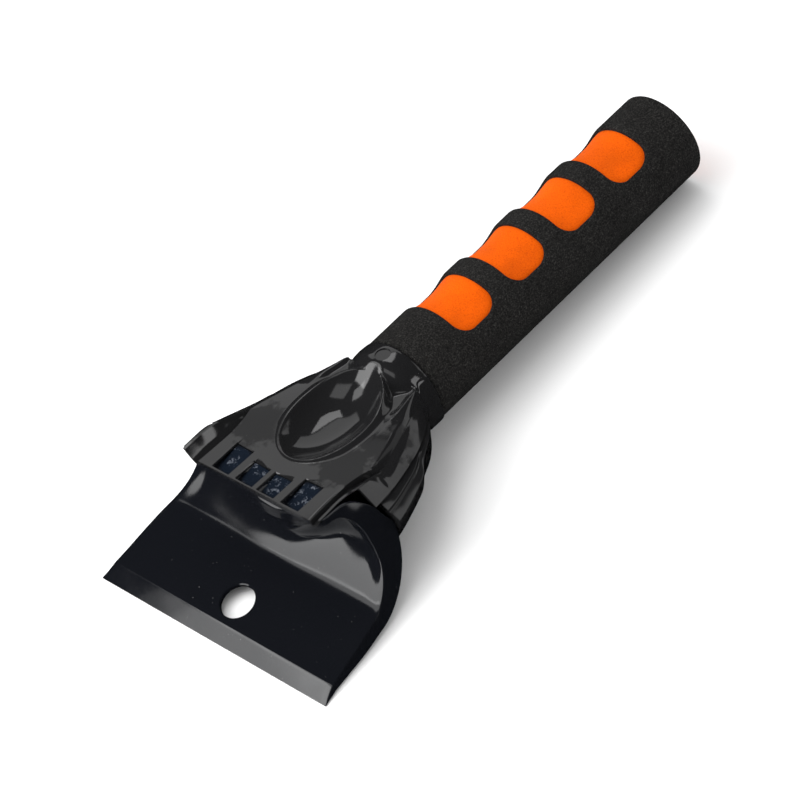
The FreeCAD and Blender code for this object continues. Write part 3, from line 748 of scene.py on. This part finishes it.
def make_skin():
    """Black outer sleeve: the grip's surface, clipped at the finger grooves' outlines."""
    stations = grip_stations(SKIN_STEP)
    turns = SKIN_TURNS
    angles = [2 * math.pi * k / turns for k in range(turns)]
    field = [[groove_distance(x, a) for a in angles] for x in stations]
    verts, index, faces = [], {}, []

    def vertex(key, x, angle, outside):
        if (key, outside) not in index:
            radius = skin_radius(x, angle) if outside else CORE_RADIUS
            index[key, outside] = len(verts)
            verts.append(on_grip(x, angle, radius))
        return index[key, outside]

    def crossing(p, q):
        (i, j), (k, l) = min(p, q), max(p, q)
        a, b = field[i][j % turns], field[k][l % turns]
        s = a / (a - b)
        x = stations[i] + (stations[k] - stations[i]) * s
        angle = 2 * math.pi / turns * (j + (l - j) * s)
        return ("cut", i, j % turns, k, l % turns), x, angle

    for i in range(len(stations) - 1):
        for j in range(turns):
            corners = [(i, j), (i, j + 1), (i + 1, j + 1), (i + 1, j)]
            ring, cuts = [], []
            for n, here in enumerate(corners):
                there = corners[(n + 1) % 4]
                inside = field[here[0]][here[1] % turns] < 0
                if not inside:
                    ring.append(((here[0], here[1] % turns), stations[here[0]],
                                 2 * math.pi / turns * here[1]))
                if inside != (field[there[0]][there[1] % turns] < 0):
                    point = crossing(here, there)
                    ring.append(point)
                    cuts.append(point)
            if len(ring) < 3:
                continue
            faces.append([vertex(*p, True) for p in ring])
            faces.append([vertex(*p, False) for p in reversed(ring)])
            if len(cuts) == 2:
                a, b = cuts
                faces.append([vertex(*a, True), vertex(*b, True), vertex(*b, False), vertex(*a, False)])
    last = len(stations) - 1
    for i in (0, last):
        for j in range(turns):
            a = ((i, j), stations[i], angles[j])
            b = ((i, (j + 1) % turns), stations[i], angles[j])
            faces.append([vertex(*a, True), vertex(*b, True), vertex(*b, False), vertex(*a, False)])
    skin = make_object("foam_skin", verts, faces)
    finish_surface(skin, 50.0)
    return skin


def make_core():
    """Orange inner sleeve, hollowed at the finger grooves."""
    stations = grip_stations(CORE_STEP)
    turns = CORE_TURNS
    angles = [2 * math.pi * k / turns for k in range(turns)]
    rings = [[on_grip(x, a, core_radius(x, a)) for a in angles] for x in stations]
    bore = [[on_grip(x, a, TUBE_RADIUS) for a in angles] for x in reversed(stations)]
    loops = rings + bore
    verts = [p for loop in loops for p in loop]
    faces = []
    for i in range(len(loops)):
        k = (i + 1) % len(loops)
        for j in range(turns):
            n = (j + 1) % turns
            faces.append((i * turns + j, i * turns + n, k * turns + n, k * turns + j))
    core = make_object("foam_core", verts, faces)
    finish_surface(core, 50.0)
    return core


# ---------------------------------------------------------------- materials

PLAIN_SHINE = 0.5
SPOT_SHINE = 0.18
PAD_CENTRES = [(-62.0, side * y, 12.5) for side in (-1, 1) for y in (4.9, 15.9)]
PAD_REACH = 6.2
# Colours round the pads: two bluer, lighter tones that are a painted reflection, then pale scuff marks
SCUFF_AND_PAINTED_REFLECTION_STOPS = ((0.0, (0.004, 0.006, 0.010)), (0.56, (0.006, 0.009, 0.015)),
               (0.66, (0.10, 0.11, 0.13)))
# Sink marks over the two screw bosses and on one ridge
SINK_CENTRES = [(-46.0, -18.6, 12.2), (-46.0, 18.6, 12.2), (-30.0, -21.5, 11.8)]
SINK_REACH = 9.0


def node_material(name):
    material = bpy.data.materials.new(name)
    material.use_nodes = True
    nodes = material.node_tree.nodes
    return material, nodes, material.node_tree.links, nodes["Principled BSDF"]


def noise_node(nodes, links, scale, detail=3.0, roughness=0.5):
    """Noise in object space; scale is in features per metre."""
    place_node = nodes.new("ShaderNodeTexCoord")
    texture = nodes.new("ShaderNodeTexNoise")
    texture.inputs["Scale"].default_value = scale
    texture.inputs["Detail"].default_value = detail
    texture.inputs["Roughness"].default_value = roughness
    links.new(place_node.outputs["Object"], texture.inputs["Vector"])
    return texture.outputs["Fac"]


def ramp_node(nodes, links, source, stops):
    ramp = nodes.new("ShaderNodeValToRGB")
    elements = ramp.color_ramp.elements
    while len(elements) < len(stops):
        elements.new(0.5)
    for element, (position, colour) in zip(elements, stops):
        element.position = position
        element.color = (*colour, 1.0)
    links.new(source, ramp.inputs["Fac"])
    return ramp.outputs["Color"]


def bump_node(nodes, links, height, distance, strength=1.0, under=None):
    bump = nodes.new("ShaderNodeBump")
    bump.inputs["Strength"].default_value = strength
    bump.inputs["Distance"].default_value = distance
    links.new(height, bump.inputs["Height"])
    if under is not None:
        links.new(under, bump.inputs["Normal"])
    return bump.outputs["Normal"]


def gloss_plastic(name, colour, dust, index, sunk=(), scuffed_with_painted_reflection=()):
    """Moulded gloss plastic: fine dust, hazy patches, faint flow waves, sink marks, and scuffs with a
    bluer painted reflection round them.
    """
    material, nodes, links, shader = node_material(name)
    speck_scuff_and_reflection_colour = ramp_node(nodes, links, noise_node(nodes, links, 1100.0, 1.0),
                       ((0.0, colour), (0.78, colour), (0.84, dust)))
    # Round each given point the base colour takes a bluer painted reflection and pale scuffs
    for centre in scuffed_with_painted_reflection:
        speck_scuff_and_reflection_colour = add_scuffs_and_painted_reflection(nodes, links, speck_scuff_and_reflection_colour, place(centre), PAD_REACH * MM)
    links.new(speck_scuff_and_reflection_colour, shader.inputs["Base Color"])
    haze = ramp_node(nodes, links, noise_node(nodes, links, 60.0, 5.0, 0.6),
                     ((0.35, (0.05, 0.05, 0.05)), (0.78, (0.15, 0.15, 0.15))))
    links.new(haze, shader.inputs["Roughness"])
    shine = None
    for centre in sunk:
        shine = add_spot(nodes, links, shine, place(centre), SINK_REACH * MM)
    if shine is not None:
        links.new(shine, shader.inputs["Specular IOR Level"])
    scuffs = noise_node(nodes, links, 1700.0, 4.0, 0.7)
    fine = bump_node(nodes, links, scuffs, 0.00002, 0.25)
    waves = bump_node(nodes, links, noise_node(nodes, links, 40.0, 1.0), 0.0004, 0.3, fine)
    links.new(waves, shader.inputs["Normal"])
    shader.inputs["IOR"].default_value = index
    return material


def distance_node(nodes, links, centre):
    """Distance from a point, in object space."""
    where = nodes.new("ShaderNodeTexCoord")
    distance = nodes.new("ShaderNodeVectorMath")
    distance.operation = "DISTANCE"
    links.new(where.outputs["Object"], distance.inputs[0])
    distance.inputs[1].default_value = centre
    return distance.outputs["Value"]


def mask_node(nodes, links, source, outside, inside):
    """0 where the source is at or past the outside value, 1 at or past the inside value."""
    mask = nodes.new("ShaderNodeMapRange")
    mask.inputs["From Min"].default_value = outside
    mask.inputs["From Max"].default_value = inside
    links.new(source, mask.inputs["Value"])
    return mask.outputs["Result"]


def add_spot(nodes, links, shine, centre, size):
    """Reflection weakened in a ragged patch round a point."""
    uneven = nodes.new("ShaderNodeMath")
    uneven.operation = "MULTIPLY_ADD"
    links.new(noise_node(nodes, links, 260.0), uneven.inputs[0])
    uneven.inputs[1].default_value = -size * 1.6
    links.new(distance_node(nodes, links, centre), uneven.inputs[2])
    mix = nodes.new("ShaderNodeMix")
    links.new(mask_node(nodes, links, uneven.outputs["Value"], size * 0.35, size * 0.1),
              mix.inputs["Factor"])
    mix.inputs["A"].default_value = PLAIN_SHINE
    if shine is not None:
        links.new(shine, mix.inputs["A"])
    mix.inputs["B"].default_value = SPOT_SHINE
    return mix.outputs["Result"]


def add_scuffs_and_painted_reflection(nodes, links, colour, centre, size):
    """Colour turned bluer and lighter round a point as a painted reflection, with pale scuff marks."""
    near = mask_node(nodes, links, distance_node(nodes, links, centre), size, size * 0.8)
    # The darker stops paint a bluish reflection; only the palest stop is scuff marks
    scuff_and_reflection_colour = ramp_node(nodes, links, noise_node(nodes, links, 330.0, 6.0, 0.75), SCUFF_AND_PAINTED_REFLECTION_STOPS)
    mix = nodes.new("ShaderNodeMix")
    mix.data_type = "RGBA"
    links.new(near, mix.inputs["Factor"])
    links.new(colour, mix.inputs["A"])
    links.new(scuff_and_reflection_colour, mix.inputs["B"])
    return mix.outputs["Result"]


def foam(name, stops, grain, depth):
    """Closed-cell foam: mottled cells with pits, and broad uneven patches."""
    material, nodes, links, shader = node_material(name)
    cells = noise_node(nodes, links, grain, 3.0, 0.65)
    patches = noise_node(nodes, links, 70.0, 3.0)
    colour = ramp_node(nodes, links, cells, stops)
    tint = ramp_node(nodes, links, patches, ((0.3, (0.80, 0.80, 0.80)), (0.7, (1.0, 1.0, 1.0))))
    mix = nodes.new("ShaderNodeMix")
    mix.data_type = "RGBA"
    mix.blend_type = "MULTIPLY"
    mix.inputs["Factor"].default_value = 1.0
    links.new(colour, mix.inputs["A"])
    links.new(tint, mix.inputs["B"])
    links.new(mix.outputs["Result"], shader.inputs["Base Color"])
    shader.inputs["Roughness"].default_value = 0.95
    shader.inputs["Specular IOR Level"].default_value = 0.12
    normal = bump_node(nodes, links, cells, depth, 1.0)
    links.new(normal, shader.inputs["Normal"])
    return material


def steel(name):
    material, nodes, links, shader = node_material(name)
    tone = ramp_node(nodes, links, noise_node(nodes, links, 500.0, 4.0),
                     ((0.3, (0.45, 0.46, 0.48)), (0.7, (0.65, 0.66, 0.68))))
    links.new(tone, shader.inputs["Base Color"])
    shader.inputs["Metallic"].default_value = 1.0
    shader.inputs["Roughness"].default_value = 0.35
    return material


def matt_plastic(name):
    material, nodes, links, shader = node_material(name)
    tone = ramp_node(nodes, links, noise_node(nodes, links, 300.0, 4.0),
                     ((0.3, (0.018, 0.018, 0.018)), (0.7, (0.035, 0.035, 0.035))))
    links.new(tone, shader.inputs["Base Color"])
    shader.inputs["Roughness"].default_value = 0.55
    return material


# ---------------------------------------------------------------- camera, floor and light

AIM = Vector((-0.0216, -0.0024, 0.020))
CAMERA_DISTANCE = 1.1499
CAMERA_HEADING = math.radians(57.0)     # direction of view, seen from above
CAMERA_PITCH = math.radians(44.42)
CAMERA_ROLL = math.radians(20.9)
LENS = 157.5
FLOOR_HALF_SIZE = 4.0
FLOOR_Z = -0.0002
WORLD_STRENGTH = 0.75


def add_camera():
    data = bpy.data.cameras.new("camera")
    data.lens = LENS
    data.clip_end = 20.0
    camera = bpy.data.objects.new("camera", data)
    forward = Vector((math.cos(CAMERA_HEADING) * math.cos(CAMERA_PITCH),
                      math.sin(CAMERA_HEADING) * math.cos(CAMERA_PITCH), -math.sin(CAMERA_PITCH)))
    turn = forward.to_track_quat("-Z", "Y").to_matrix().to_4x4()
    camera.matrix_world = (Matrix.Translation(AIM - forward * CAMERA_DISTANCE) @ turn
                           @ Matrix.Rotation(-CAMERA_ROLL, 4, "Z"))
    bpy.context.scene.collection.objects.link(camera)
    bpy.context.scene.camera = camera


def add_floor():
    size = FLOOR_HALF_SIZE
    mesh = bpy.data.meshes.new("floor")
    mesh.from_pydata([(-size, -size, 0), (size, -size, 0), (size, size, 0), (-size, size, 0)], [],
                     [(0, 1, 2, 3)])
    floor = bpy.data.objects.new("floor", mesh)
    floor.location.z = FLOOR_Z
    bpy.context.scene.collection.objects.link(floor)
    material, nodes, links, shader = node_material("pale_floor")
    tone = ramp_node(nodes, links, noise_node(nodes, links, 3.0, 2.0),
                     ((0.3, (0.86, 0.86, 0.86)), (0.7, (0.89, 0.89, 0.89))))
    links.new(tone, shader.inputs["Base Color"])
    shader.inputs["Roughness"].default_value = 0.9
    mesh.materials.append(material)
    floor.visible_glossy = False


def aloft(heading, height, distance):
    """Point seen from the origin at a heading and a height in degrees, at a distance in metres."""
    across, up = math.radians(heading), math.radians(height)
    direction = Vector((math.cos(across) * math.cos(up), math.sin(across) * math.cos(up), math.sin(up)))
    return direction * distance


def add_softbox(name, centre, width, tall, radiance, facing=None, up=(0, 0, 1), glossy=True):
    """Rectangular area light, turned towards the object unless it faces elsewhere."""
    data = bpy.data.lights.new(name, "AREA")
    data.shape = "RECTANGLE"
    data.size = width
    data.size_y = tall
    data.energy = radiance * math.pi * width * tall
    light = bpy.data.objects.new(name, data)
    away = (Vector(centre) if facing is None else -Vector(facing)).normalized()
    side = Vector(up).cross(away).normalized()
    turn = Matrix((side, away.cross(side), away)).transposed().to_4x4()
    light.matrix_world = Matrix.Translation(centre) @ turn
    light.visible_camera = False
    light.visible_glossy = glossy
    bpy.context.scene.collection.objects.link(light)


def add_lights():
    world = bpy.data.worlds.new("studio")
    world.use_nodes = True
    background = world.node_tree.nodes["Background"]
    background.inputs["Color"].default_value = (1.0, 1.0, 1.0, 1.0)
    background.inputs["Strength"].default_value = WORLD_STRENGTH
    world.cycles_visibility.glossy = False
    bpy.context.scene.world = world
    add_softbox("overhead_fill", aloft(150, 70, 2.2), 1.6, 1.6, 2.0, glossy=False)
    add_softbox("back_left_panel", aloft(50, 37, 2.0), 2.0, 0.85, 1.0)
    add_softbox("right_panel", aloft(-23, 22, 1.6), 0.78, 0.72, 1.0)
    add_softbox("front_left_softbox", (-0.463, 0.159, 0.286), 0.35, 0.68, 5.0,
                facing=(0.824, -0.554, -0.119), up=(0.359, 0.348, 0.866))
    add_softbox("dish_softbox_back", aloft(48, 60, 1.4), 0.55, 0.42, 3.2)
    add_softbox("dish_softbox_left", aloft(124, 53, 1.4), 0.34, 0.34, 3.0)
    add_softbox("collar_softbox", aloft(-65, 28, 1.4), 0.28, 0.50, 3.0)
    add_softbox("overhead_panel", aloft(-170, 72, 1.6), 0.8, 0.5, 1.3)
    bpy.context.scene.view_settings.view_transform = "Standard"


# ---------------------------------------------------------------- assembly

def dress(piece, material, node):
    piece.data.materials.clear()
    piece.data.materials.append(material)
    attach(piece, "root")
    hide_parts(node)


head_material = gloss_plastic("gloss_black", (0.010, 0.010, 0.0105), (0.05, 0.05, 0.05), 1.50,
                              sunk=SINK_CENTRES)
# The blade's colour is painted bluer and lighter round the pads as a reflection, with pale scuffs
blade_material = gloss_plastic("gloss_blue_black", (0.0045, 0.0050, 0.0066), (0.10, 0.10, 0.10), 1.38,
                               scuffed_with_painted_reflection=PAD_CENTRES)
black_foam = foam("black_foam", ((0.30, (0.003, 0.003, 0.003)), (0.52, (0.014, 0.0135, 0.013)),
                                 (0.75, (0.050, 0.048, 0.045))), 1900.0, 0.0003)
orange_foam = foam("orange_foam", ((0.28, (0.55, 0.062, 0.000)), (0.45, (0.72, 0.092, 0.000)),
                                   (0.75, (0.80, 0.115, 0.000))), 1900.0, 0.0002)

add_camera()
add_floor()
add_lights()

dress(make_blade(), blade_material, "blade")
dress(make_top_shell(), head_material, "head_top_shell")
dress(make_bottom_shell(), head_material, "head_bottom_shell")
skin = make_skin()
dress(skin, black_foam, "grip_foam_outer")
core = make_core()
dress(core, orange_foam, "grip_foam_inner")

for node, material in (("shell_screws", steel("zinc_steel")),
                       ("handle_tube", matt_plastic("tube_plastic")),
                       ("end_plug", matt_plastic("plug_plastic"))):
    for material_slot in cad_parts[node].material_slots:
        material_slot.link = "OBJECT"
        material_slot.material = material
